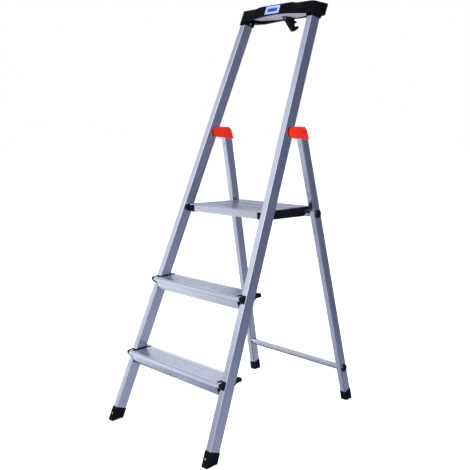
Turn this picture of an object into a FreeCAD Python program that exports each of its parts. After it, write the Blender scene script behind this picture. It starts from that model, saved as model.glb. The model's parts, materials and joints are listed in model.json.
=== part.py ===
"""Aluminium platform step ladder: two treads, a folding platform, a tray on top and a swinging rear frame.

Millimetres, +Z up, +Y from the climbing side to the rear, +X to the climber's right.
The origin is on the floor at the middle of the ladder's footprint.
"""
import FreeCAD, Part
import math
import os

V = FreeCAD.Vector

# ---- overall layout ---------------------------------------------------------------------------
tread_pitch = 216.0            # height from one tread to the next
first_tread_z = 208.5          # top of the lower tread
tread_count = 2                # treads under the platform
front_lean = 22.2              # degrees, front stiles from upright
rear_lean = 14.1               # degrees, rear legs from upright, the other way
front_half_width = 214.0       # outer face of a front stile at the floor
front_splay = 0.063            # how much that half width falls for each unit of height
rear_inset = 2.5               # outer face of a rear leg inside that of a stile, at the floor
rear_splay = 0.0585
leg_behind_pivot = 39.35       # front face of a rear leg behind the hinge pivot, level
stile_top_height = 14.0        # stile inside the tray, above the tray's bottom

# ---- sections -----------------------------------------------------------------------------------
stile_width = 18.5             # across the ladder
stile_depth = 37.0             # along the climber's view, square to the stile
leg_width = 19.5
leg_depth = 29.0
tube_wall = 1.6                # wall of both hollow sections
edge_radius = 2.4              # long outer edges of both sections
tube_radius = 10.0             # round cross tubes of the rear frame
round_tube_wall = 1.5

# ---- treads -------------------------------------------------------------------------------------
nose_out = 20.0                # nosing in front of the stile's front face, at tread height
tread_depth = 80.0
tread_skirt = 37.5             # height of the front skirt
tread_rear_height = 17.0
tread_wall = 2.2
nosing_radius = 6.0
rear_radius = 3.0
tread_overlap = 9.0            # how far the nosing passes over the stile, beyond its inner face
groove_pitch = 6.5             # ribbed top
groove_width = 2.6
groove_depth = 0.9
cap_wall = 2.5                 # plastic between a tread and its stile
cap_lip = 1.5                  # height of the cap's raised rim on the tread
cap_lip_width = 1.5
cap_inset = 0.3                # how far a cap's ends stay inside the stile's outer face
plug_length = 14.0
screw_radius = 2.0
screw_head_radius = 4.0
horn_skin = 1.5                # plastic under the parts of the tread that pass the stile
horn_nose_height = 8.0         # height of the part before the stile, at its front
horn_root_height = 21.0        # the same beside the stile
nub_height = 10.0              # height of the part behind the stile

# ---- feet ---------------------------------------------------------------------------------------
foot_wall = 1.8
sole_thickness = 8.0
front_foot_length = 44.0       # along the stile
rear_foot_length = 29.5        # along the leg
sole_groove = 1.2
sole_radius = 1.5              # round the edge of the sole

# ---- hinge heads --------------------------------------------------------------------------------
hinge_above_platform = 217.5   # pivot above the platform's top
hinge_back = 30.0              # pivot behind the stile's front face, level
ear_radius = 15.0
ear_thickness = 3.8
ear_gap = 1.3                  # between an ear and the nearest point of the sloping stile
head_wall = 2.0                # head in front of the leg
head_rear_wall = 0.8           # head behind the leg
head_rim_radius = 2.2
hinge_cap_radius = 6.5         # cover on the inner end of the hinge pin
hinge_cap_thickness = 1.4
head_drop = 21.0               # head's lower edge below the pivot, behind the leg
head_front_drop = 17.5         # the same in front of the leg
leg_top_height = 5.5           # leg above the pivot, inside the head
pin_radius = 4.5
pin_cover = 1.8                # plastic over the pin's outer end
bush_wall = 1.8
running_gap = 0.05             # radial clearance of a pin that turns
fork_gap = 1.2                 # between the head's root and the stile, at any fold
plug_drop = 52.0               # head's plug inside the leg, below the pivot
hinge_rivet_drop = 38.0        # rivet below the pivot

# ---- rear cross tubes ---------------------------------------------------------------------------
brace_z = 113.0
rest_tube_drop = 20.5          # centre of the upper tube below the platform's top
tube_stub = 1.0                # tube beyond the leg's outer face
tube_cap_radius = 12.0
tube_cap_thickness = 3.0

# ---- platform -----------------------------------------------------------------------------------
platform_thickness = 24.0
platform_front_set = 15.0      # front face behind the stile's front face, at platform height
deck_past_tube = 4.6           # deck's rear edge behind the rest tube's centre
platform_gap = 1.4             # between a bracket and the nearest stile
platform_pivot_back = 13.0     # pivot behind the platform's front face
platform_pin_radius = 4.0
plank_count = 3
plank_gap = 0.6
plank_wall = 1.8
bracket_thickness = 4.5
bracket_front_width = 25.0     # width of the bracket's solid nose
bracket_nose_depth = 34.0
bracket_drop = 4.0             # how much deeper the bracket is at its rear end
bracket_step = 9.0             # end of its deep part, in front of the hook's mouth
rivet_margin = 35.4            # row of bracket rivets ends this far in front of the rest tube
slot_gap = 0.6                 # between the hook's seat and the rest tube
slot_lead = 4.0                # extra room in front of the tube for it to swing clear
hook_wall = 3.5                # plastic behind the tube
deck_over_tube = 5.0           # height of the deck's rear flange, above the tube

# ---- tray ---------------------------------------------------------------------------------------
tray_above_platform = 551.5    # tray's bottom above the platform's top
tray_end_height = 33.5         # at the ends
tray_crown = 4.0               # extra height of the front wall's middle
crown_end_gap = 27.4           # from the foot of the crown's slope to the hollow's corner
crown_slope_width = 18.0
tray_end_cover = 0.48          # tray's end beyond the stile's outer face, at the stile's top
tray_front_set = 14.0          # front wall before the stile's front face at the tray's bottom
tray_depth = 75.0              # at the ends
tray_bow_front = 4.0
tray_bow_rear = 29.0
tray_wall = 5.0
tray_corner = 12.0
hollow_corner = 8.0
rim_radius = 1.8               # rounded upper and lower edges
pan_gap = 0.2                  # round the pan
tray_floor_height = 9.0        # underside of the pan, above the tray's bottom
pan_thickness = 2.5
ledge = 5.0
arch_rise = 8.0                # the front wall's lower edge rises this much in the middle
socket_wall = 3.0
socket_length = 7.0            # socket below the tray's bottom, at the front
socket_cut = 8.0               # degrees that the socket's end falls towards the rear
label_width = 54.0
label_height = 24.0
label_thickness = 0.8
label_x = -7.0                 # the plate sits a little to the left
hook_thickness = 16.0
hook_radius = 1.8

# ---- derived ------------------------------------------------------------------------------------
front_slope = math.tan(math.radians(front_lean))
rear_slope = math.tan(math.radians(rear_lean))
stile_level = stile_depth / math.cos(math.radians(front_lean))     # depth of the level section
leg_level = leg_depth / math.cos(math.radians(rear_lean))
tread_heights = [first_tread_z + index * tread_pitch for index in range(tread_count)]
platform_z = first_tread_z + tread_count * tread_pitch
rest_tube_z = platform_z - rest_tube_drop
hinge_z = platform_z + hinge_above_platform
leg_top_z = hinge_z + leg_top_height
tray_bottom_z = platform_z + tray_above_platform
tray_end_z = tray_bottom_z + tray_end_height
tray_floor_z = tray_bottom_z + tray_floor_height
stile_top_z = tray_bottom_z + stile_top_height
rear_half_width = front_half_width - rear_inset
rear_foot_y = hinge_z * (front_slope + rear_slope) + hinge_back + leg_behind_pivot
y_front = -(rear_foot_y + leg_level) / 2                            # front of the front stiles, at the floor
fold_angle = front_lean + rear_lean                                 # rear frame from open to shut
platform_swing = 90.0 - front_lean                                  # platform from level to shut
far = 3000.0                                                        # longer than anything here


def stile_y(z):
    """Front face of the front stiles."""
    return y_front + z * front_slope


def leg_y(z):
    """Front face of the rear legs."""
    return y_front + rear_foot_y - z * rear_slope


def stile_x(z):
    """Outer face of the right front stile."""
    return front_half_width - z * front_splay


def leg_x(z):
    """Outer face of the right rear leg."""
    return rear_half_width - z * rear_splay


def tube_place(z):
    """Centre of a cross tube in the legs, front to back."""
    return leg_y(z) + leg_level / 2


pivot = V(0, stile_y(hinge_z) + hinge_back, hinge_z)
tube_y = tube_place(rest_tube_z)
deck_front_y = stile_y(platform_z) + platform_front_set
deck_rear_y = tube_y + deck_past_tube
platform_pivot = V(0, deck_front_y + platform_pivot_back, platform_z - platform_thickness / 2)
tray_half_width = stile_x(stile_top_z) + tray_end_cover


# ---- building blocks ----------------------------------------------------------------------------
def polygon_face(points):
    return Part.Face(Part.makePolygon(points + [points[0]]))


def side_prism(outline, x_low, x_high):
    """Prism along X of an outline given as (y, z)."""
    face = polygon_face([V(x_low, y, z) for y, z in outline])
    return face.extrude(V(x_high - x_low, 0, 0))


def plan_prism(outline, z_low, z_high):
    """Prism along Z of an outline given as (x, y)."""
    face = polygon_face([V(x, y, z_low) for x, y in outline])
    return face.extrude(V(0, 0, z_high - z_low))


def front_prism(outline, y_low, y_high):
    """Prism along Y of an outline given as (x, z)."""
    face = polygon_face([V(x, y_low, z) for x, z in outline])
    return face.extrude(V(0, y_high - y_low, 0))


def block(x_low, x_high, y_low, y_high, z_low, z_high):
    return Part.makeBox(x_high - x_low, y_high - y_low, z_high - z_low, V(x_low, y_low, z_low))


def rod(radius, x_low, x_high, y, z):
    """Cylinder along X."""
    return Part.makeCylinder(radius, x_high - x_low, V(x_low, y, z), V(1, 0, 0))


def mirrored(shape):
    """The same piece on the other side of the ladder."""
    return shape.mirror(V(0, 0, 0), V(1, 0, 0))


def long_edges(shape, direction):
    """Edges that run along a member."""
    unit = V(direction).normalize()
    found = []
    for edge in shape.Edges:
        run = edge.Vertexes[-1].Point - edge.Vertexes[0].Point
        if run.Length > 1.0 and abs(run.normalize().dot(unit)) > 0.999:
            found.append(edge)
    return found


def member(outer_x, front_y, width, level_depth, splay, slope, z_low, z_high, grow, radius):
    """Right-hand leaning bar: a level rectangle carried up along the member, grown all round."""
    def corner(side, back, z):
        x = outer_x(z) + grow if side else outer_x(z) - width - grow
        y = front_y(z) + level_depth + grow if back else front_y(z) - grow
        return V(x, y, z)
    base = polygon_face([corner(s, b, z_low) for s, b in ((0, 0), (1, 0), (1, 1), (0, 1))])
    along = V(-splay, slope, 1) * (z_high - z_low)
    bar = base.extrude(along)
    if radius > 0:
        bar = bar.makeFillet(radius, long_edges(bar, along))
    return bar


def stile_bar(z_low, z_high, grow=0.0, radius=0.0):
    return member(stile_x, stile_y, stile_width, stile_level, front_splay, front_slope,
                  z_low, z_high, grow, radius)


def leg_bar(z_low, z_high, grow=0.0, radius=0.0):
    return member(leg_x, leg_y, leg_width, leg_level, rear_splay, -rear_slope,
                  z_low, z_high, grow, radius)


def below_line(y, z, angle, x_low=-far, x_high=far):
    """Half space under a line through (y, z) that rises at this angle towards the rear."""
    along = (math.cos(math.radians(angle)), math.sin(math.radians(angle)))
    down = (along[1], -along[0])
    near = (y - far * along[0], z - far * along[1])
    away = (y + far * along[0], z + far * along[1])
    return side_prism([near, away, (away[0] + far * down[0], away[1] + far * down[1]),
                       (near[0] + far * down[0], near[1] + far * down[1])], x_low, x_high)


def between_stiles(grow, z_low, z_high):
    """Everything between the stiles' inner faces, grown sideways."""
    low = stile_x(z_low) - stile_width + grow
    high = stile_x(z_high) - stile_width + grow
    return front_prism([(-low, z_low), (low, z_low), (high, z_high), (-high, z_high)], -far, far)


def rivet_head(radius, height, base, direction):
    """Low rounded head whose flat side is on the base."""
    head = Part.makeCylinder(radius, height, base, direction)
    return head.makeFillet(0.6 * height, [head.Edges[0]])


def screw_head(radius, height, base, direction):
    """Rounded head with a cross recess."""
    head = rivet_head(radius, height, V(0, 0, 0), V(0, 0, 1))
    reach = 0.6 * radius
    width = 0.13 * radius
    floor = 0.45 * height
    cross = block(-reach, reach, -width, width, floor, 2 * height)
    cross = cross.fuse(block(-width, width, -reach, reach, floor, 2 * height))
    head = head.cut(cross)
    head.Placement = FreeCAD.Placement(base, FreeCAD.Rotation(V(0, 0, 1), direction))
    return head


def save(name, shape):
    os.makedirs("parts", exist_ok=True)
    if shape.ShapeType == "Compound" and len(shape.Solids) == 1:
        shape = shape.Solids[0]
    shape.exportStep("parts/" + name + ".step")


def save_pair(name, right):
    save(name + "_right", right)
    save(name + "_left", mirrored(right))


# ---- front frame --------------------------------------------------------------------------------
def stile():
    foot_z = sole_thickness
    bar = stile_bar(foot_z, stile_top_z, 0.0, edge_radius)
    bar = bar.cut(stile_bar(foot_z - 1, stile_top_z + 1, -tube_wall))
    bar = bar.cut(rod(pin_radius + running_gap + bush_wall, 0, far, pivot.y, pivot.z))
    bar = bar.cut(rod(platform_pin_radius, 0, far, platform_pivot.y, platform_pivot.z))
    return bar.cut([foot_screws(), tray_screws(), cap_screws()])


def front_foot():
    top = stile_bar(0, front_foot_length + stile_level, foot_wall, edge_radius + foot_wall)
    edge_z = front_foot_length * math.cos(math.radians(front_lean))
    shoe = top.common(below_line(stile_y(edge_z), edge_z, -front_lean))
    shoe = shoe.makeFillet(sole_radius, [edge for edge in shoe.Edges if edge.CenterOfMass.z < 0.01])
    shoe = shoe.cut(stile_bar(sole_thickness, far / 4))
    for place in (0.25, 0.5, 0.75):
        y = y_front + place * stile_level
        shoe = shoe.cut(block(0, far, y - sole_groove, y + sole_groove, -1, sole_groove))
    return shoe.cut(foot_screws())


def foot_screws():
    """One screw through the front of each front shoe into its stile."""
    z = front_foot_length / 2
    x = stile_x(z) - stile_width / 2
    out = V(0, -math.cos(math.radians(front_lean)), math.sin(math.radians(front_lean)))
    seat = V(x, stile_y(z) - foot_wall, z)
    screw = screw_head(3.0, 1.4, seat, out).fuse(Part.makeCylinder(1.6, foot_wall + 6, seat, out * -1))
    return Part.makeCompound([screw, mirrored(screw)])


# ---- treads -------------------------------------------------------------------------------------
def tread_outline(z_top):
    """Side view of a tread as a closed wire, with a rounded nosing and a stepped front skirt."""
    front = stile_y(z_top) - nose_out
    rear = front + tread_depth
    def at(y, z):
        return V(0, y, z_top + z)
    front_in = nosing_radius * (1 - math.sqrt(0.5))
    rear_in = rear_radius * (1 - math.sqrt(0.5))
    corners = [at(front, -nosing_radius), at(front, -9.5), at(front + 3.5, -12), at(front + 3.5, -14),
               at(front + 5, -15.5), at(front + 12, -tread_skirt), at(front + 16, -tread_skirt),
               at(rear - 3, -tread_rear_height), at(rear, -tread_rear_height + 3), at(rear, -rear_radius)]
    nosing = Part.Arc(at(front + nosing_radius, 0), at(front + front_in, -front_in), corners[0])
    skirt = Part.makePolygon(corners)
    back = Part.Arc(corners[-1], at(rear - rear_in, -rear_in), at(rear - rear_radius, 0))
    top = Part.LineSegment(at(rear - rear_radius, 0), at(front + nosing_radius, 0))
    return Part.Wire([nosing.toShape()] + skirt.Edges + [back.toShape(), top.toShape()])


def tread_bar(z_top):
    bar = Part.Face(tread_outline(z_top)).extrude(V(2 * front_half_width + 40, 0, 0))
    bar.translate(V(-front_half_width - 20, 0, 0))
    return bar


def tread_cavities(z_top, shrink=0.0):
    """The two hollows inside a tread, as (y, z) outlines."""
    front = stile_y(z_top) - nose_out
    rear = front + tread_depth
    roof = z_top - tread_wall - groove_depth - shrink
    web = front + 0.5 * tread_depth
    def floor(y):
        share = (y - front - 16) / (tread_depth - 19)
        drop = tread_skirt + share * (tread_rear_height - tread_skirt)
        return z_top - drop + tread_wall + shrink
    first = [(front + 7 + shrink, roof), (web - tread_wall / 2 - shrink, roof),
             (web - tread_wall / 2 - shrink, floor(web)), (front + 16 + shrink, floor(front + 16)),
             (front + 8 + shrink, z_top - 15)]
    second = [(web + tread_wall / 2 + shrink, roof), (rear - tread_wall - 1 - shrink, roof),
              (rear - tread_wall - 1 - shrink, floor(rear - 5)), (web + tread_wall / 2 + shrink, floor(web))]
    return first, second


def under_horn(z_top, extra):
    """What is cut away in front of and behind the stiles, under the wrap-round parts."""
    front = stile_y(z_top) - nose_out
    nose_z = z_top - horn_nose_height - extra
    root_z = z_top - horn_root_height - extra
    nub_z = z_top - nub_height - extra
    low = z_top - 80
    outline = [(front - 40, nose_z), (front - 3, nose_z), (front + 15, root_z), (front + 45, root_z),
               (front + 60, nub_z), (front + 130, nub_z), (front + 130, low), (front - 40, low)]
    return side_prism(outline, -far, far)


def tread(z_top):
    z_low = z_top - tread_skirt - 20
    z_high = z_top + 20
    slab = block(-far, far, -far, far, z_low, z_high)
    outside = slab.cut(between_stiles(-cap_wall, z_low - 5, z_high + 5))
    bar = tread_bar(z_top).common(between_stiles(tread_overlap, z_low, z_high))
    bar = bar.cut(under_horn(z_top, 0).common(outside))
    notch = stile_bar(z_low, z_high, cap_wall)
    bar = bar.cut([notch, mirrored(notch)])
    for outline in tread_cavities(z_top):
        bar = bar.cut(side_prism(outline, -far, far))
    front = stile_y(z_top) - nose_out
    grooves = int((tread_depth - 16) / groove_pitch)
    cuts = []
    for index in range(grooves):
        y = front + 10 + index * groove_pitch
        cuts.append(block(-far, far, y, y + groove_width, z_top - groove_depth, z_top + 5))
    return bar.cut(cuts)


def cap_rim(z_top):
    """Raised rim of a cap: along the tread's end and round the stile."""
    z_high = z_top + cap_lip
    front = stile_y(z_top) - nose_out + nosing_radius + 1
    rear = stile_y(z_top) - nose_out + tread_depth - rear_radius - 1
    rim = between_stiles(0, z_top, z_high)
    rim = rim.cut(between_stiles(-cap_wall - cap_lip_width, z_top - 1, z_high + 1))
    collar = stile_bar(z_top - 40, z_high + 40, cap_wall + cap_lip_width, edge_radius + cap_wall)
    rim = rim.fuse(collar).common(block(0, far, front, rear, z_top, z_high))
    return rim.common(between_stiles(stile_width - cap_inset, z_top - 1, z_high + 1))


def tread_cap(z_top, tread_shape):
    """Right-hand end cap: lines the notch, closes the end and wraps the stile at front and rear."""
    z_low = z_top - tread_skirt - 20
    z_high = z_top + 20
    inner = between_stiles(-cap_wall, z_low - 5, z_high + 5)
    outer = between_stiles(stile_width - cap_inset, z_low, z_high)
    cap = tread_bar(z_top).common(outer).cut(inner)
    half = block(0, far, -far, far, z_low, z_high)
    outside = half.cut(between_stiles(0, z_low - 5, z_high + 5))
    cap = cap.cut(under_horn(z_top, horn_skin).common(outside))
    cap = cap.fuse(cap_rim(z_top)).cut([stile_bar(z_low - 5, z_high + 5), tread_shape])
    cap = cap.common(half)
    reach = between_stiles(-cap_wall - plug_length, z_low - 5, z_high + 5)
    side = half.cut(reach).common(between_stiles(-cap_wall, z_low, z_high))
    for outline in tread_cavities(z_top, 0.2):
        cap = cap.fuse(side_prism(outline, 0, far).common(side))
    for screw_y in cap_screw_rows(z_top):
        z = z_top - 12.0
        x_in = stile_x(z) - stile_width
        cap = cap.cut(rod(screw_head_radius, x_in - 60, x_in - cap_wall - 2, screw_y, z))
    return cap.cut(cap_screws()).removeSplitter()


def cap_screw_rows(z_top):
    """Where the two screws of a cap are, front to back, both inside the stile's depth."""
    y = stile_y(z_top - 12)
    return y + 0.3 * stile_level, y + 0.74 * stile_level


def cap_screws():
    """Two screws hold each cap to its stile; their heads are inside the tread."""
    screws = []
    for z_top in tread_heights:
        z = z_top - 12.0
        x_in = stile_x(z) - stile_width
        for y in cap_screw_rows(z_top):
            head = rod(screw_head_radius - 0.5, x_in - cap_wall - 5, x_in - cap_wall - 2, y, z)
            screw = head.fuse(rod(screw_radius, x_in - cap_wall - 4, x_in - 0.8, y, z))
            screws += [screw, mirrored(screw)]
    return Part.makeCompound(screws)


# ---- platform -----------------------------------------------------------------------------------
def deck_half_width(y):
    """Half width that stays between the leaning-in stiles, level or folded up between them."""
    widest = stile_x(platform_z + 2) - stile_width - platform_gap
    narrowing = front_splay * math.cos(math.radians(front_lean))
    return widest - narrowing * max(0.0, y - platform_pivot.y)


def deck_plan(grow, z_low, z_high):
    """Plan of the platform, grown sideways."""
    turn = platform_pivot.y
    rear = deck_rear_y + 60
    front = deck_front_y - 10
    half = [(deck_half_width(front) + grow, front), (deck_half_width(turn) + grow, turn),
            (deck_half_width(rear) + grow, rear)]
    outline = half + [(-x, y) for x, y in reversed(half)]
    return plan_prism(outline, z_low, z_high)


def plank(index):
    """One ribbed hollow extrusion; the rear one thins out to a flange over the rest tube."""
    body_rear = tube_y - tube_radius - slot_gap - slot_lead - 3
    pitch = (body_rear - deck_front_y) / plank_count
    front = deck_front_y + index * pitch
    rear = front + pitch - plank_gap
    top = platform_z
    bottom = platform_z - platform_thickness + 2
    last = index == plank_count - 1
    outline = [(front, bottom), (rear, bottom), (rear, top), (front, top)]
    if last:
        flange = platform_z - deck_over_tube
        outline = [(front, bottom), (rear, bottom), (rear, flange), (deck_rear_y, flange),
                   (deck_rear_y, top), (front, top)]
    bar = side_prism(outline, -far / 8, far / 8)
    if index == 0:
        nose = [edge for edge in long_edges(bar, V(1, 0, 0)) if edge.Vertexes[0].Point.y < front + 0.1]
        bar = bar.makeFillet(4.0, [edge for edge in nose if edge.Vertexes[0].Point.z > bottom + 1])
    bar = bar.common(deck_plan(-bracket_thickness, bottom - 1, top + 1))
    middle = (front + rear) / 2
    roof = top - plank_wall - groove_depth
    cells = ((front + plank_wall + 1, middle - plank_wall / 2), (middle + plank_wall / 2, rear - plank_wall))
    for low, high in cells:
        bar = bar.cut(block(-far, far, low, high, bottom + plank_wall, roof))
    cuts = []
    rib_rear = deck_rear_y if last else rear
    for rib in range(int((rib_rear - front - 6) / groove_pitch)):
        y = front + 6 + rib * groove_pitch
        cuts.append(block(-far, far, y, y + groove_width, top - groove_depth, top + 5))
    bar = bar.cut(cuts)
    if index == 0:
        z_low = bottom - 5
        nose_plan = deck_plan(-bracket_front_width, z_low - 5, top + 5)
        keep = block(-far, far, -far, deck_front_y + bracket_nose_depth, z_low, roof)
        bar = bar.cut(keep.cut(nose_plan))
    return bar.cut(bracket_rivets())


def bracket():
    """Right-hand side bracket: solid nose round the pivot pin, side plate and hook over the rest tube."""
    top = platform_z - 1.0
    bottom = platform_z - platform_thickness
    seat = tube_radius + slot_gap
    mouth = tube_y - seat - slot_lead
    step = mouth - bracket_step
    raised = rest_tube_z - 1.0
    back = tube_y + seat + hook_wall
    nose_y = deck_front_y
    outline = [(nose_y, bottom + 4), (nose_y + 4, bottom), (step, bottom - bracket_drop), (step + 5, raised),
               (mouth, raised), (mouth, rest_tube_z), (mouth + 4, rest_tube_z + seat),
               (tube_y + seat, rest_tube_z + seat - 0.01), (tube_y + seat, raised), (back - 2, raised),
               (back, raised + 3), (back, top - 6), (back - 5, top), (nose_y + 3, top), (nose_y, top - 3)]
    z_low = bottom - bracket_drop - 5
    z_high = top + 5
    whole = side_prism(outline, 0, far / 8)
    plate = whole.common(deck_plan(0, z_low, z_high))
    plate = plate.cut(deck_plan(-bracket_thickness, z_low - 5, z_high + 5))
    nose_box = block(0, far, -far, deck_front_y + bracket_nose_depth - 0.3, z_low,
                     platform_z - plank_wall - groove_depth - 0.3)
    nose = whole.common(deck_plan(-bracket_thickness, z_low, z_high)).common(nose_box)
    nose = nose.cut(deck_plan(-bracket_front_width + 0.3, z_low - 5, z_high + 5))
    shape = plate.fuse(nose)
    shape = shape.cut(rod(platform_pin_radius + running_gap, 0, far, platform_pivot.y, platform_pivot.z))
    return shape.cut(bracket_rivets()).removeSplitter()


def platform_pin():
    """Right-hand pin, pressed into the stile and flush with its outer face."""
    inner = deck_half_width(platform_pivot.y) - bracket_front_width + 3
    outer = stile_x(platform_pivot.z + platform_pin_radius) - 0.2
    pin = rod(platform_pin_radius, inner, outer, platform_pivot.y, platform_pivot.z)
    return pin.makeChamfer(0.6, [edge for edge in pin.Edges if edge.BoundBox.XLength < 0.1])


def bracket_rivets():
    """Rivets that fasten the brackets to the planks, three a side."""
    z = platform_z - platform_thickness / 2
    span = (tube_y - rivet_margin - deck_front_y) / plank_count
    rivets = []
    for index in range(plank_count):
        y = deck_front_y + 0.75 * span + index * span
        x = deck_half_width(y)
        head = Part.makeCylinder(3.2, 1.0, V(x - 0.3, y, z), V(1, 0, 0))
        rivet = head.makeFillet(0.5, [head.Edges[0]]).fuse(rod(1.8, x - bracket_thickness - 6, x, y, z))
        rivets += [rivet, mirrored(rivet)]
    return Part.makeCompound(rivets)


# ---- rear frame ---------------------------------------------------------------------------------
def leg():
    bar = leg_bar(sole_thickness, leg_top_z, 0.0, edge_radius)
    bar = bar.cut(leg_bar(sole_thickness - 1, leg_top_z + 1, -tube_wall))
    for z in (brace_z, rest_tube_z):
        bar = bar.cut(rod(tube_radius, 0, far, tube_place(z), z))
    return bar.cut(hinge_rivets())


def cross_tube(z):
    reach = leg_x(z - tube_radius) + tube_stub
    tube = rod(tube_radius, -reach, reach, tube_place(z), z)
    return tube.cut(rod(tube_radius - round_tube_wall, -reach - 1, reach + 1, tube_place(z), z))


def tube_cap(z):
    """Right-hand plug with a domed disc against the leg's outer face."""
    reach = leg_x(z - tube_radius) + tube_stub
    disc = Part.makeCylinder(tube_cap_radius, tube_cap_thickness, V(reach, tube_place(z), z), V(1, 0, 0))
    rim = [edge for edge in disc.Edges if edge.BoundBox.XMin > reach + 0.5 * tube_cap_thickness]
    disc = disc.makeFillet(0.6 * tube_cap_thickness, rim)
    return disc.fuse(rod(tube_radius - round_tube_wall, reach - 12, reach, tube_place(z), z))


def rear_foot():
    shoe = leg_bar(0, rear_foot_length + leg_level, foot_wall, edge_radius + foot_wall)
    edge_z = rear_foot_length * math.cos(math.radians(rear_lean))
    shoe = shoe.common(below_line(leg_y(edge_z), edge_z, rear_lean))
    shoe = shoe.makeFillet(sole_radius, [edge for edge in shoe.Edges if edge.CenterOfMass.z < 0.01])
    shoe = shoe.cut(leg_bar(sole_thickness, far / 4))
    for place in (0.3, 0.7):
        y = leg_y(0) + place * leg_level
        shoe = shoe.cut(block(0, far, y - sole_groove, y + sole_groove, -1, sole_groove))
    return shoe


def swept_stile(grow):
    """Every place that the stile takes beside a hinge head, from open to shut."""
    low = hinge_z - 80
    high = hinge_z + 80
    front = -4
    back = stile_level + grow
    outline = [(stile_y(low) + front, low), (stile_y(low) + back, low), (stile_y(high) + back, high),
               (stile_y(high) + front, high)]
    band = side_prism(outline, *head_slot())
    steps = 6
    swept = band
    for index in range(1, steps + 1):
        turned = band.copy()
        turned.rotate(pivot, V(1, 0, 0), fold_angle * index / steps)
        swept = swept.fuse(turned)
    return swept


def head_slot():
    """Inner faces of the fork's two ears, along X."""
    low = stile_x(hinge_z + ear_radius) - stile_width - ear_gap
    high = stile_x(hinge_z - ear_radius) + ear_gap
    return low, high


def hinge_head():
    """Right-hand head: a fork round the stile, a roof over the leg and a plug inside it."""
    slot_low, slot_high = head_slot()
    x_low = slot_low - ear_thickness
    x_high = slot_high + ear_thickness
    top = hinge_z + ear_radius
    base_z = hinge_z - head_drop
    rear_low = leg_y(base_z) + leg_level + head_rear_wall
    rear_high = leg_y(top) + leg_level + head_rear_wall
    front_low = leg_y(hinge_z - head_front_drop) - head_wall
    ear = rod(ear_radius, x_low, x_high, pivot.y, pivot.z)
    front_z = hinge_z - head_front_drop
    body = side_prism([(pivot.y, top), (rear_high - 13, top), (rear_high - 3, top - 9), (rear_low, base_z),
                       (front_low + 12, base_z), (front_low, front_z), (pivot.y, hinge_z - ear_radius)],
                      x_low, x_high)
    head = ear.fuse(body).removeSplitter()
    rims = [edge for edge in head.Edges if edge.BoundBox.XLength < 0.1]
    head = head.makeFillet(head_rim_radius, rims)
    head = head.cut(swept_stile(fork_gap))
    head = head.cut(leg_bar(base_z - 60, leg_top_z))
    plug = leg_bar(hinge_z - plug_drop, leg_top_z + 2, -tube_wall)
    head = head.fuse(plug)
    pocket = x_high - pin_cover
    head = head.cut(rod(pin_radius, x_low - 1, pocket, pivot.y, pivot.z))
    window_y = leg_y(hinge_z) + 0.35 * leg_level
    head = head.cut(block(leg_x(hinge_z) - 1, far, window_y - 5, window_y + 5, hinge_z - 2.5, hinge_z + 2.5)
                    .cut(leg_bar(hinge_z - 50, leg_top_z)))
    return head.cut(hinge_rivets()).removeSplitter()


def pivot_pin():
    slot_low, slot_high = head_slot()
    return rod(pin_radius, slot_low - ear_thickness, slot_high + ear_thickness - pin_cover, pivot.y, pivot.z)


def hinge_cap():
    """Cover over the pin's inner end, on the head."""
    slot_low = head_slot()[0]
    seat = V(slot_low - ear_thickness, pivot.y, pivot.z)
    return rivet_head(hinge_cap_radius, hinge_cap_thickness, seat, V(-1, 0, 0))


def bush():
    ring = rod(pin_radius + running_gap + bush_wall, 0, far / 4, pivot.y, pivot.z)
    ring = ring.cut(rod(pin_radius + running_gap, -1, far / 3, pivot.y, pivot.z))
    return ring.common(stile_bar(hinge_z - 60, hinge_z + 60))


def hinge_rivets():
    """One rivet through the front wall of each rear leg into the head's plug."""
    z = hinge_z - hinge_rivet_drop
    out = V(0, -math.cos(math.radians(rear_lean)), -math.sin(math.radians(rear_lean)))
    seat = V(leg_x(z) - leg_width / 2, leg_y(z), z)
    rivet = rivet_head(2.8, 1.2, seat, out).fuse(Part.makeCylinder(1.6, tube_wall + 5, seat, out * -1))
    return Part.makeCompound([rivet, mirrored(rivet)])


# ---- tray ---------------------------------------------------------------------------------------
def tray_y(z):
    """Front of the tray in the middle, which leans back with the stiles."""
    return stile_y(z) - tray_front_set


def tray_plan(inset, z_low, z_high, half_width, corner):
    """The tray's plan, with bowed front and rear edges, carried up along the stiles."""
    base_z = z_low - 50
    front = tray_y(base_z) + tray_bow_front + inset
    rear = tray_y(base_z) + tray_bow_front + tray_depth - inset
    def at(x, y):
        return V(x, y, base_z)
    lines = [Part.Arc(at(-half_width, front), at(0, front - tray_bow_front), at(half_width, front)),
             Part.LineSegment(at(half_width, front), at(half_width, rear)),
             Part.Arc(at(half_width, rear), at(0, rear + tray_bow_rear), at(-half_width, rear)),
             Part.LineSegment(at(-half_width, rear), at(-half_width, front))]
    wire = Part.Wire([line.toShape() for line in lines])
    lean = V(0, front_slope, 1)
    solid = Part.Face(wire).extrude(lean * (z_high - base_z + 50))
    rounded = solid.makeFillet(corner, long_edges(solid, lean))
    return rounded.common(block(-far, far, -far, far, z_low, z_high))


def tray_hollow_half_width():
    return stile_x(tray_bottom_z) - stile_width - socket_wall - 2


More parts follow.
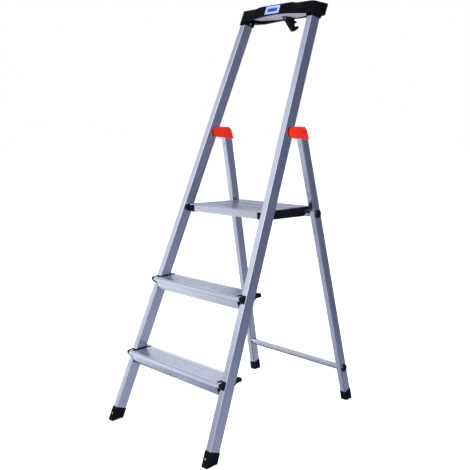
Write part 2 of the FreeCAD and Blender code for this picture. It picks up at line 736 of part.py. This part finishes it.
def tray_frame():
    crown_z = tray_end_z + tray_crown
    body = tray_plan(0, tray_bottom_z, crown_z, tray_half_width, tray_corner)
    under = [edge for edge in body.Edges if edge.CenterOfMass.z < tray_bottom_z + 0.01]
    body = body.makeFillet(rim_radius, under)
    shoulder = tray_hollow_half_width() - hollow_corner - crown_end_gap
    crown_half_width = shoulder - crown_slope_width
    side = front_prism([(crown_half_width, crown_z + 1), (crown_half_width, crown_z), (shoulder, tray_end_z),
                        (far, tray_end_z), (far, crown_z + 1)], -far, far)
    wall_rear = tray_bow_front + tray_wall + 1
    behind = side_prism([(tray_y(tray_end_z) + wall_rear, tray_end_z), (far, tray_end_z), (far, crown_z + 1),
                         (tray_y(crown_z + 1) + wall_rear, crown_z + 1)], -far, far)
    body = body.cut([side, mirrored(side), behind])
    hollow_half = tray_hollow_half_width()
    floor = tray_floor_z
    body = body.cut(tray_plan(tray_wall, floor, crown_z + 5, hollow_half, hollow_corner))
    body = body.cut(tray_plan(tray_wall + ledge, tray_bottom_z - 5, floor + 1, hollow_half - ledge, 6.0))
    arch_half = hollow_half - 8
    left = V(-arch_half, -far, tray_bottom_z)
    right = V(arch_half, -far, tray_bottom_z)
    curve = Part.Arc(left, V(0, -far, tray_bottom_z + arch_rise), right)
    arch = Part.Wire([curve.toShape(), Part.LineSegment(right, left).toShape()])
    body = body.cut(Part.Face(arch).extrude(V(0, 2 * far, 0)))
    socket_z = tray_bottom_z - socket_length
    socket = stile_bar(tray_bottom_z - 60, tray_bottom_z + 12, socket_wall, edge_radius + 1)
    socket = socket.cut(below_line(stile_y(socket_z), socket_z, -socket_cut))
    body = body.fuse([socket, mirrored(socket)])
    pocket = stile_bar(tray_bottom_z - 80, stile_top_z)
    body = body.cut([pocket, mirrored(pocket), tray_screws(), bucket_hook()]).removeSplitter()
    above = [edge for edge in body.Edges if edge.BoundBox.ZMin > tray_end_z - 0.5]
    return body.makeFillet(rim_radius, above)


def tray_pan():
    half_width = tray_hollow_half_width() - pan_gap
    top = tray_floor_z + pan_thickness
    pan = tray_plan(tray_wall + pan_gap, tray_floor_z, top, half_width, hollow_corner - pan_gap)
    for x in hook_screw_rows:
        pan = pan.cut(Part.makeCylinder(screw_radius, 20, V(x, hook_root_y(), tray_floor_z - 10)))
    return pan


def tray_screws():
    """One screw through the inner wall of each socket into the stile."""
    z = tray_bottom_z - 4
    y = stile_y(z) + stile_level / 2
    x = stile_x(z) - stile_width - socket_wall
    shank = rod(screw_radius, x, x + socket_wall + 6, y, z)
    screw = screw_head(3.5, 1.6, V(x, y, z), V(-1, 0, 0)).fuse(shank)
    return Part.makeCompound([screw, mirrored(screw)])


hook_screw_rows = (-4.5, 4.5)


def hook_root_y():
    return tray_y(tray_floor_z) + tray_bow_front + tray_depth - 26


def bucket_hook():
    """Hook under the rear of the tray, open to the rear."""
    root = hook_root_y() - 4
    top = tray_floor_z
    profile = ((0, 0), (8, 7), (42, 36), (47, 39), (64, 29), (66, 22), (60, 22), (55, 26), (50, 27),
               (46, 23), (46, 17), (56, 13), (56, 10), (46, 8), (40, 0))
    outline = [(root + back, top - drop) for back, drop in profile]
    half = hook_thickness / 2
    hook = side_prism(outline, -half, half)
    below = [edge for edge in hook.Edges if edge.BoundBox.ZMin < top - 0.5]
    hook = hook.makeFillet(hook_radius, [edge for edge in below if edge.BoundBox.XLength < 0.01])
    for x in hook_screw_rows:
        hook = hook.cut(Part.makeCylinder(screw_radius - 0.4, 12, V(x, hook_root_y(), top - 10)))
    return hook


def hook_screws():
    """Two screws down through the pan into the hook."""
    screws = []
    for x in hook_screw_rows:
        seat = V(x, hook_root_y(), tray_floor_z + pan_thickness)
        head = screw_head(3.6, 1.6, seat, V(0, 0, 1))
        screws.append(head.fuse(Part.makeCylinder(screw_radius - 0.4, pan_thickness + 8, seat, V(0, 0, -1))))
    return Part.makeCompound(screws)


def label_plate():
    """Blank plate that follows the tray's bowed, leaning front."""
    z = tray_bottom_z + arch_rise + 14.5
    low = z - label_height / 2
    high = z + label_height / 2
    left = label_x - label_width / 2
    right = label_x + label_width / 2
    corners = [(left, low), (right, low), (right, high), (left, high)]
    outline = front_prism(corners, -far, tray_y(z) + tray_depth / 2)
    outline = outline.makeFillet(2.0, long_edges(outline, V(0, 1, 0)))
    skin = tray_plan(-label_thickness, tray_bottom_z, tray_end_z + 20, tray_half_width, tray_corner)
    skin = skin.cut(tray_plan(0, tray_bottom_z - 1, tray_end_z + 25, tray_half_width, tray_corner))
    return skin.common(outline)


# ---- all the pieces -----------------------------------------------------------------------------
save_pair("stile", stile())
save_pair("foot_front", front_foot())
save("foot_screws", foot_screws())

for tread_name, tread_z in zip(("lower", "upper"), tread_heights):
    tread_shape = tread(tread_z)
    save("tread_" + tread_name, tread_shape)
    save_pair("tread_cap_" + tread_name, tread_cap(tread_z, tread_shape))
save("tread_cap_screws", cap_screws())

for plank_name, plank_index in (("front", 0), ("middle", 1), ("rear", 2)):
    save("platform_plank_" + plank_name, plank(plank_index))
save_pair("platform_bracket", bracket())
save_pair("platform_pin", platform_pin())
save("platform_rivets", bracket_rivets())

save_pair("rear_leg", leg())
save_pair("foot_rear", rear_foot())
for tube_name, tube_z in (("rest", rest_tube_z), ("brace", brace_z)):
    save("tube_" + tube_name, cross_tube(tube_z))
    save_pair("tube_cap_" + tube_name, tube_cap(tube_z))
save_pair("hinge_head", hinge_head())
save_pair("hinge_pin", pivot_pin())
save_pair("hinge_cap", hinge_cap())
save_pair("hinge_bush", bush())
save("hinge_rivets", hinge_rivets())

save("tray_frame", tray_frame())
save("tray_pan", tray_pan())
save("tray_screws", tray_screws())
save("bucket_hook", bucket_hook())
save("hook_screws", hook_screws())
save("label_plate", label_plate())
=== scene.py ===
"""Looks of the platform step ladder: materials, light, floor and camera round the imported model."""
import json
import math
import bpy
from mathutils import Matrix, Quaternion, Vector

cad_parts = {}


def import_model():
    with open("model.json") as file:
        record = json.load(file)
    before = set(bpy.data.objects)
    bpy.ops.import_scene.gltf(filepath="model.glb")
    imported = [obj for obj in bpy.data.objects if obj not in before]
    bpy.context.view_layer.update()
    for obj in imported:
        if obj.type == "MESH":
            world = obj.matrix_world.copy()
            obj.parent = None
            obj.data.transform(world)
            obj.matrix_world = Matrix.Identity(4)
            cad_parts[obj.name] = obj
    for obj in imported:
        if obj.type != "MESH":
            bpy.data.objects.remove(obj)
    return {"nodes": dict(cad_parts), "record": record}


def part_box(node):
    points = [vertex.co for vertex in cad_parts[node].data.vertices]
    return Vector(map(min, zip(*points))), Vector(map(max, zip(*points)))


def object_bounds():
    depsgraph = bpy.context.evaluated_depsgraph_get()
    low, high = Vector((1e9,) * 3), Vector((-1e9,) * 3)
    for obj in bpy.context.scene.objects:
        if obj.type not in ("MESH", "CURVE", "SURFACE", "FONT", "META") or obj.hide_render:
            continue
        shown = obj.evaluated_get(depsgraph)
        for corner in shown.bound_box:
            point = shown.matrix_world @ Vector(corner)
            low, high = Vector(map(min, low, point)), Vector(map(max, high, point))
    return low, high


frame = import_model()
nodes = frame["nodes"]
cad_low, cad_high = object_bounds()
centre = (cad_low + cad_high) / 2

# ---- leans of the two frames, read from where their bars are ---------------------------------------


def lean_of(bar):
    """(sideways, backwards) shift of a bar for each unit of height, on the right-hand side."""
    low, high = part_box(bar)
    points = [vertex.co for vertex in nodes[bar].data.vertices]
    slab = 0.04 * (high.z - low.z)
    top = [point for point in points if point.z > high.z - slab]
    bottom = [point for point in points if point.z < low.z + slab]
    run = [max(p[axis] for p in top) - max(p[axis] for p in bottom) for axis in (0, 1)]
    height = max(p.z for p in top) - max(p.z for p in bottom)
    return run[0] / height, run[1] / height


stile_lean = lean_of("stile_right")
leg_lean = lean_of("rear_leg_right")

# ---- shader helpers ---------------------------------------------------------------------------------


class Shader:
    """A material's node tree, with short calls for the nodes used here."""

    def __init__(self, name, color, metallic=0.0, roughness=0.5, coat=0.0, specular=0.5):
        self.material = bpy.data.materials.new(name)
        self.material.use_nodes = True
        self.tree = self.material.node_tree
        self.surface = self.tree.nodes["Principled BSDF"]
        self.surface.inputs["Base Color"].default_value = (*color, 1)
        self.surface.inputs["Metallic"].default_value = metallic
        self.surface.inputs["Roughness"].default_value = roughness
        self.surface.inputs["Coat Weight"].default_value = coat
        self.surface.inputs["Specular IOR Level"].default_value = specular
        self.place = self.node("ShaderNodeTexCoord").outputs["Object"]

    def node(self, kind, **settings):
        made = self.tree.nodes.new(kind)
        for key, value in settings.items():
            setattr(made, key, value)
        return made

    def link(self, value, socket):
        """Feeds a socket from another one, or sets it to a number or a colour."""
        if isinstance(value, bpy.types.NodeSocket):
            self.tree.links.new(value, socket)
        else:
            socket.default_value = value

    def math(self, operation, *values, clamp=False):
        made = self.node("ShaderNodeMath", operation=operation, use_clamp=clamp)
        for value, socket in zip(values, made.inputs):
            self.link(value, socket)
        return made.outputs[0]

    def split(self):
        """The three object coordinates."""
        made = self.node("ShaderNodeSeparateXYZ")
        self.link(self.place, made.inputs[0])
        return made.outputs[0], made.outputs[1], made.outputs[2]

    def join(self, x, y, z):
        made = self.node("ShaderNodeCombineXYZ")
        for value, socket in zip((x, y, z), made.inputs):
            self.link(value, socket)
        return made.outputs[0]

    def noise(self, vector, scale, detail=3.0, rough=0.5):
        made = self.node("ShaderNodeTexNoise")
        self.link(vector, made.inputs["Vector"])
        made.inputs["Scale"].default_value = scale
        made.inputs["Detail"].default_value = detail
        made.inputs["Roughness"].default_value = rough
        return made.outputs["Fac"]

    def band(self, value, low, high, low_out=0.0, high_out=1.0):
        """Maps low..high to low_out..high_out, clamped and smooth at both ends."""
        made = self.node("ShaderNodeMapRange", interpolation_type="SMOOTHSTEP")
        for socket, number in zip(made.inputs, (value, low, high, low_out, high_out)):
            self.link(number, socket)
        return made.outputs[0]

    def mix(self, share, first, second):
        """Colour between first and second."""
        made = self.node("ShaderNodeMix", data_type="RGBA")
        self.link(share, made.inputs[0])
        for value, socket in ((first, made.inputs[6]), (second, made.inputs[7])):
            self.link((*value, 1) if isinstance(value, tuple) else value, socket)
        return made.outputs[2]

    def bump(self, height, strength, distance):
        """Adds a bump over the ones already there."""
        made = self.node("ShaderNodeBump")
        made.inputs["Strength"].default_value = strength
        made.inputs["Distance"].default_value = distance
        self.link(height, made.inputs["Height"])
        normal = self.surface.inputs["Normal"]
        if normal.links:
            self.link(normal.links[0].from_socket, made.inputs["Normal"])
        self.link(made.outputs[0], normal)

    def color(self, value):
        self.link(value, self.surface.inputs["Base Color"])

    def lay_over(self, share, value):
        """Mixes a colour over the base colour that is already linked."""
        under = self.surface.inputs["Base Color"].links[0].from_socket
        self.color(self.mix(share, under, value))

    def roughness(self, value):
        self.link(value, self.surface.inputs["Roughness"])


# ---- materials ------------------------------------------------------------------------------------
anodised = (0.80, 0.82, 0.88)
anodised_deep = (0.70, 0.72, 0.80)
line_stretch = 0.006              # how little the finest drawing lines change along a bar
streak_stretch = 0.02             # the same for the broader streaks
groove_depth = 0.0009             # floors of the grooves, below the top of a ribbed face
groove_fade = (0.0001, 0.0003)    # from the groove's floor, where its dirt and painted shade start and stop fading
# colour of the dirt and painted shade in the floors of the grooves
groove_dirt_and_shade = (0.30, 0.31, 0.36)
seam_shade_fade = (0.002, 0.009)        # from a plank's seam, where its band of painted shade starts and stops fading
seam_shade_share = 0.75
# colour of the painted shade along each plank seam
seam_painted_shade = (0.16, 0.17, 0.20)
grain_depth = 0.00005
panel_side_fade = (0.66, 0.72)    # edge of the label's panel, as shares of half the plate
panel_rise_fade = (0.40, 0.50)
panel_drop = 0.0005


def along_bar(shader, lean):
    """Coordinates that stay the same along a leaning bar, apart from the last, which runs along it."""
    x, y, z = shader.split()
    across = shader.math("ADD", shader.math("ABSOLUTE", x), shader.math("MULTIPLY", z, -lean[0]))
    depth = shader.math("ADD", y, shader.math("MULTIPLY", z, -lean[1]))
    return across, depth, z


def drawn(shader, across, depth, along, base, deep, roughness):
    """Finish of drawn aluminium: fine lines along the bar, faint mottling and a few handling marks."""
    fine = shader.noise(shader.join(across, depth, shader.math("MULTIPLY", along, line_stretch)), 1500, 2)
    broad = shader.noise(shader.join(across, depth, shader.math("MULTIPLY", along, streak_stretch)), 240, 2)
    cloud = shader.noise(shader.place, 14, 4)
    marks = shader.noise(shader.place, 90, 6, 0.7)
    streaks = shader.band(broad, 0.35, 0.65, 0.0, 0.5)
    mottling = shader.band(cloud, 0.35, 0.7, 0.0, 0.5)
    share = shader.math("ADD", streaks, mottling)
    worn = shader.band(marks, 0.66, 0.74)
    shader.color(shader.mix(share, base, deep))
    rough = shader.math("ADD", shader.band(fine, 0.3, 0.7, roughness - 0.04, roughness + 0.05),
                        shader.math("MULTIPLY", worn, 0.12))
    shader.roughness(rough)
    shader.bump(fine, 0.12, 0.00012)
    shader.bump(worn, 0.05, 0.0002)


def bar_aluminium(name, lean, base, deep):
    shader = Shader(name, base, metallic=1.0, roughness=0.3)
    drawn(shader, *along_bar(shader, lean), base, deep, 0.24)
    return shader.material


def cross_aluminium(name, base, deep, roughness, tops=(), seams=()):
    """Extrusion that runs across the ladder. Dirt and painted shade darken the floors between its ribs, and a
    band of painted shade runs along each seam.
    """
    shader = Shader(name, base, metallic=1.0, roughness=roughness)
    x, y, z = shader.split()
    drawn(shader, y, z, x, base, deep, roughness)
    if tops:
        # painted shade, with some dirt, darkens the floors of the grooves between the ribs
        groove = None
        for top in tops:
            away = shader.math("ABSOLUTE", shader.math("SUBTRACT", z, top - groove_depth))
            near = shader.band(away, *groove_fade, 1.0, 0.0)
            groove = near if groove is None else shader.math("ADD", groove, near, clamp=True)
        patches = shader.band(shader.noise(shader.place, 60, 4), 0.3, 0.6, 0.45, 0.9)
        shader.lay_over(shader.math("MULTIPLY", groove, patches), groove_dirt_and_shade)
    # a band of painted shade along each plank seam
    for seam in seams:
        away = shader.math("ABSOLUTE", shader.math("SUBTRACT", y, seam))
        shader.lay_over(shader.band(away, *seam_shade_fade, seam_shade_share, 0.0), seam_painted_shade)
    return shader.material


def plastic(name, base, deep, roughness, grain=0.0006, scuffs=0.1, specular=0.5):
    """Moulded plastic: fine spark-eroded grain, faint flow marks and light scuffs."""
    shader = Shader(name, base, roughness=roughness, specular=specular)
    grains = shader.noise(shader.place, 1 / grain, 2, 0.6)
    flow = shader.noise(shader.place, 22, 3)
    scratches = shader.noise(shader.place, 130, 6, 0.75)
    worn = shader.band(scratches, 0.62, 0.74)
    shader.color(shader.mix(shader.band(flow, 0.35, 0.68), base, deep))
    rough = shader.math("ADD", shader.band(grains, 0.3, 0.7, roughness - 0.05, roughness + 0.06),
                        shader.math("MULTIPLY", worn, scuffs))
    shader.roughness(rough)
    shader.bump(grains, 0.35, grain_depth)
    return shader.material


def steel(name, base, deep):
    shader = Shader(name, base, metallic=1.0, roughness=0.28)
    spangle = shader.noise(shader.place, 900, 3)
    tint = shader.noise(shader.place, 250, 2)
    shader.color(shader.mix(shader.band(tint, 0.35, 0.65), base, deep))
    shader.roughness(shader.band(spangle, 0.3, 0.7, 0.22, 0.38))
    shader.bump(spangle, 0.15, 0.00005)
    return shader.material


def label():
    """Blank two-tone plate: a pale border round a blue panel, with soft streaks from printing."""
    low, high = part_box("label_plate")
    middle = (low + high) / 2
    shader = Shader("label_blue", (0.40, 0.58, 0.95), roughness=0.25, coat=0.3)
    x, y, z = shader.split()
    side = shader.math("ABSOLUTE", shader.math("SUBTRACT", x, middle.x))
    rise = shader.math("ABSOLUTE", shader.math("SUBTRACT", z, middle.z - panel_drop))
    half_width = (high.x - low.x) / 2
    half_height = (high.z - low.z) / 2
    panel_side = shader.band(side, *[part * half_width for part in panel_side_fade], 1.0, 0.0)
    panel_rise = shader.band(rise, *[part * half_height for part in panel_rise_fade], 1.0, 0.0)
    panel = shader.math("MULTIPLY", panel_side, panel_rise)
    streak = shader.noise(shader.join(shader.math("MULTIPLY", x, 0.1), y, z), 300, 3)
    border = shader.mix(shader.band(streak, 0.3, 0.7), (0.36, 0.52, 0.88), (0.27, 0.41, 0.76))
    shader.color(shader.mix(panel, border, (0.012, 0.055, 0.30)))
    shader.roughness(shader.band(streak, 0.3, 0.7, 0.22, 0.32))
    return shader.material


tread_tops = [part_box(name)[1].z for name in ("tread_lower", "tread_upper")]
deck_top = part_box("platform_plank_front")[1].z
plank_seams = [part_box("platform_plank_" + name)[0].y for name in ("middle", "rear")]
materials = {
    "stile_aluminium": bar_aluminium("stile_aluminium", stile_lean, anodised, anodised_deep),
    "leg_aluminium": bar_aluminium("leg_aluminium", leg_lean, anodised, anodised_deep),
    "tube_aluminium": cross_aluminium("tube_aluminium", (0.82, 0.82, 0.86), (0.72, 0.72, 0.78), 0.24),
    "tread_aluminium": cross_aluminium("tread_aluminium", (0.86, 0.88, 0.93), (0.78, 0.80, 0.87), 0.26,
                                       tread_tops),
    "deck_aluminium": cross_aluminium("deck_aluminium", (0.84, 0.85, 0.90), (0.74, 0.76, 0.83), 0.26,
                                      [deck_top], plank_seams),
    "black_plastic": plastic("black_plastic", (0.003, 0.003, 0.004), (0.006, 0.006, 0.007), 0.46,
                             specular=0.14),
    "tray_plastic": plastic("tray_plastic", (0.002, 0.002, 0.003), (0.004, 0.004, 0.005), 0.36,
                            specular=0.06),
    "foot_rubber": plastic("foot_rubber", (0.004, 0.004, 0.005), (0.008, 0.008, 0.008), 0.60,
                           grain=0.0009, scuffs=0.2, specular=0.06),
    "orange_plastic": plastic("orange_plastic", (0.86, 0.026, 0.003), (0.76, 0.018, 0.002), 0.40,
                              specular=0.2),
    "rivet_dark": steel("rivet_dark", (0.06, 0.06, 0.065), (0.04, 0.04, 0.045)),
    "bush_plastic": plastic("bush_plastic", (0.72, 0.71, 0.66), (0.64, 0.63, 0.58), 0.42),
    "pan_grey": plastic("pan_grey", (0.36, 0.37, 0.42), (0.30, 0.31, 0.36), 0.42, grain=0.0012),
    "label_blue": label(),
    "fastener_steel": steel("fastener_steel", (0.68, 0.69, 0.72), (0.52, 0.53, 0.56)),
}
for part in frame["record"]["subparts"]:
    mesh = nodes[part["node"]].data
    mesh.materials.clear()
    mesh.materials.append(materials[part["material_slot"]])

# ---- surroundings -------------------------------------------------------------------------------------
floor_half = 30.0
floor_gap = 0.0004                # the paper lies this far below the soles
floor_glow = 0.72                 # keeps the paper white under the dim studio
floor_mesh = bpy.data.meshes.new("floor")
corners = [(-floor_half, -floor_half, 0), (floor_half, -floor_half, 0), (floor_half, floor_half, 0),
           (-floor_half, floor_half, 0)]
floor_mesh.from_pydata(corners, [], [(0, 1, 2, 3)])
floor = bpy.data.objects.new("floor", floor_mesh)
bpy.context.scene.collection.objects.link(floor)
floor.location.z = cad_low.z - floor_gap
floor.visible_glossy = False
paper = Shader("floor", (0.90, 0.90, 0.90), roughness=0.9, specular=0.1)
paper.color(paper.mix(paper.noise(paper.place, 0.6, 2), (0.91, 0.91, 0.91), (0.89, 0.89, 0.89)))
paper.surface.inputs["Emission Color"].default_value = (1, 1, 1, 1)
paper.surface.inputs["Emission Strength"].default_value = floor_glow
floor_mesh.materials.append(paper.material)


studio_strength = 1.05
studio_shade = (0.040, 0.045, 0.105, 1)
studio_middle = (0.33, 0.35, 0.48, 1)
studio_bright = (0.88, 0.91, 1.0, 1)
studio_middle_place = 0.45
# direction, then the cosines from which and to which an area fades in, and what it adds at each
studio_areas = (
    ((-0.80, -0.60, 0.10), -0.95, 0.98, 0.10, 0.58),
    ((-0.73, -0.58, 0.36), 0.90, 0.99, 0.0, 0.45),
    ((-0.80, -0.45, 0.40), 0.95, 0.99, 0.0, -0.22),
    ((-0.68, -0.30, 0.68), 0.965, 1.0, 0.0, -0.45),
    ((-0.62, -0.78, 0.08), 0.965, 0.993, 0.0, -0.50),
    ((-0.85, -0.50, -0.15), 0.93, 0.985, 0.0, 0.60),
    ((-0.85, -0.30, -0.45), 0.955, 0.985, 0.0, 0.55),
    ((-0.52, -0.22, -0.82), 0.945, 0.975, 0.0, -0.35),
    ((0.70, -0.60, 0.42), 0.76, 0.97, 0.0, 1.50),
    ((0.55, -0.75, -0.45), 0.75, 0.98, 0.0, -0.25),
    ((0.50, 0.50, -0.70), 0.82, 0.96, 0.0, 0.42),
    ((1.00, 0.20, 0.00), 0.76, 0.98, 0.0, 0.24),
    ((-0.60, 0.60, 0.55), 0.86, 0.99, 0.0, 0.60),
    ((0.20, 0.00, -1.00), 0.45, 0.95, 0.0, -0.30),
    ((0.0, 0.0, 1.0), 0.35, 1.0, 0.0, 0.20),
)


def world():
    """Studio surroundings: white behind the object, and soft bright and dark areas that metal reflects."""
    made = bpy.data.worlds.new("studio")
    bpy.context.scene.world = made
    made.use_nodes = True
    tree = made.node_tree
    tree.nodes.clear()
    output = tree.nodes.new("ShaderNodeOutputWorld")
    direction = tree.nodes.new("ShaderNodeTexCoord").outputs["Generated"]
    total = None
    for toward, low, high, dark, bright in studio_areas:
        dot = tree.nodes.new("ShaderNodeVectorMath")
        dot.operation = "DOT_PRODUCT"
        tree.links.new(direction, dot.inputs[0])
        dot.inputs[1].default_value = Vector(toward).normalized()
        ramp = tree.nodes.new("ShaderNodeMapRange")
        ramp.interpolation_type = "SMOOTHSTEP"
        tree.links.new(dot.outputs["Value"], ramp.inputs[0])
        for socket, number in zip(list(ramp.inputs)[1:5], (low, high, dark, bright)):
            socket.default_value = number
        if total is None:
            total = ramp.outputs[0]
        else:
            add = tree.nodes.new("ShaderNodeMath")
            add.operation = "ADD"
            tree.links.new(total, add.inputs[0])
            tree.links.new(ramp.outputs[0], add.inputs[1])
            total = add.outputs[0]
    tint = tree.nodes.new("ShaderNodeValToRGB")
    tint.color_ramp.elements[0].color = studio_shade
    tint.color_ramp.elements[1].color = studio_bright
    middle = tint.color_ramp.elements.new(studio_middle_place)
    middle.color = studio_middle
    tree.links.new(total, tint.inputs[0])
    around = tree.nodes.new("ShaderNodeBackground")
    around.inputs["Strength"].default_value = studio_strength
    tree.links.new(tint.outputs[0], around.inputs["Color"])
    behind = tree.nodes.new("ShaderNodeBackground")
    behind.inputs["Color"].default_value = (1, 1, 1, 1)
    behind.inputs["Strength"].default_value = 1.0
    path = tree.nodes.new("ShaderNodeLightPath")
    choose = tree.nodes.new("ShaderNodeMixShader")
    tree.links.new(path.outputs["Is Camera Ray"], choose.inputs[0])
    tree.links.new(around.outputs[0], choose.inputs[1])
    tree.links.new(behind.outputs[0], choose.inputs[2])
    tree.links.new(choose.outputs[0], output.inputs["Surface"])


world()


def softbox(name, place, width, height, power, target):
    lamp = bpy.data.lights.new(name, "AREA")
    lamp.shape = "RECTANGLE"
    lamp.size = width
    lamp.size_y = height
    lamp.energy = power
    holder = bpy.data.objects.new(name, lamp)
    bpy.context.scene.collection.objects.link(holder)
    holder.location = place
    holder.rotation_euler = (target - Vector(place)).to_track_quat("-Z", "Y").to_euler()
    return holder


softbox("key", (-1.7, -2.3, 2.2), 1.6, 1.6, 42, centre).visible_glossy = False
softbox("overhead", (0.2, 0.3, 3.2), 2.4, 2.4, 40, centre).visible_glossy = False
softbox("fill", (2.6, -1.6, 1.9), 0.9, 1.6, 10, centre)

# ---- camera -------------------------------------------------------------------------------------------
view_azimuth = math.radians(43.906)
view_down = math.radians(11.178)
view_roll = 0.00877               # radians
view_distance = 2.0043
view_point = centre + Vector((-0.022, 0.0077, -0.1515))
focal_share = 1.39396             # focal length over the sensor's width

camera = bpy.data.objects.new("camera", bpy.data.cameras.new("camera"))
bpy.context.scene.collection.objects.link(camera)
forward = Vector((-math.sin(view_azimuth) * math.cos(view_down), math.cos(view_azimuth) * math.cos(view_down),
                  -math.sin(view_down)))
camera.location = view_point - view_distance * forward
camera.rotation_mode = "QUATERNION"
camera.rotation_quaternion = forward.to_track_quat("-Z", "Y") @ Quaternion((0, 0, 1), view_roll)
camera.data.sensor_width = 36.0
camera.data.lens = focal_share * camera.data.sensor_width
camera.data.shift_x = 0.0029
camera.data.shift_y = 0.0600
camera.data.clip_end = 200.0
bpy.context.scene.camera = camera
bpy.context.scene.view_settings.view_transform = "Standard"
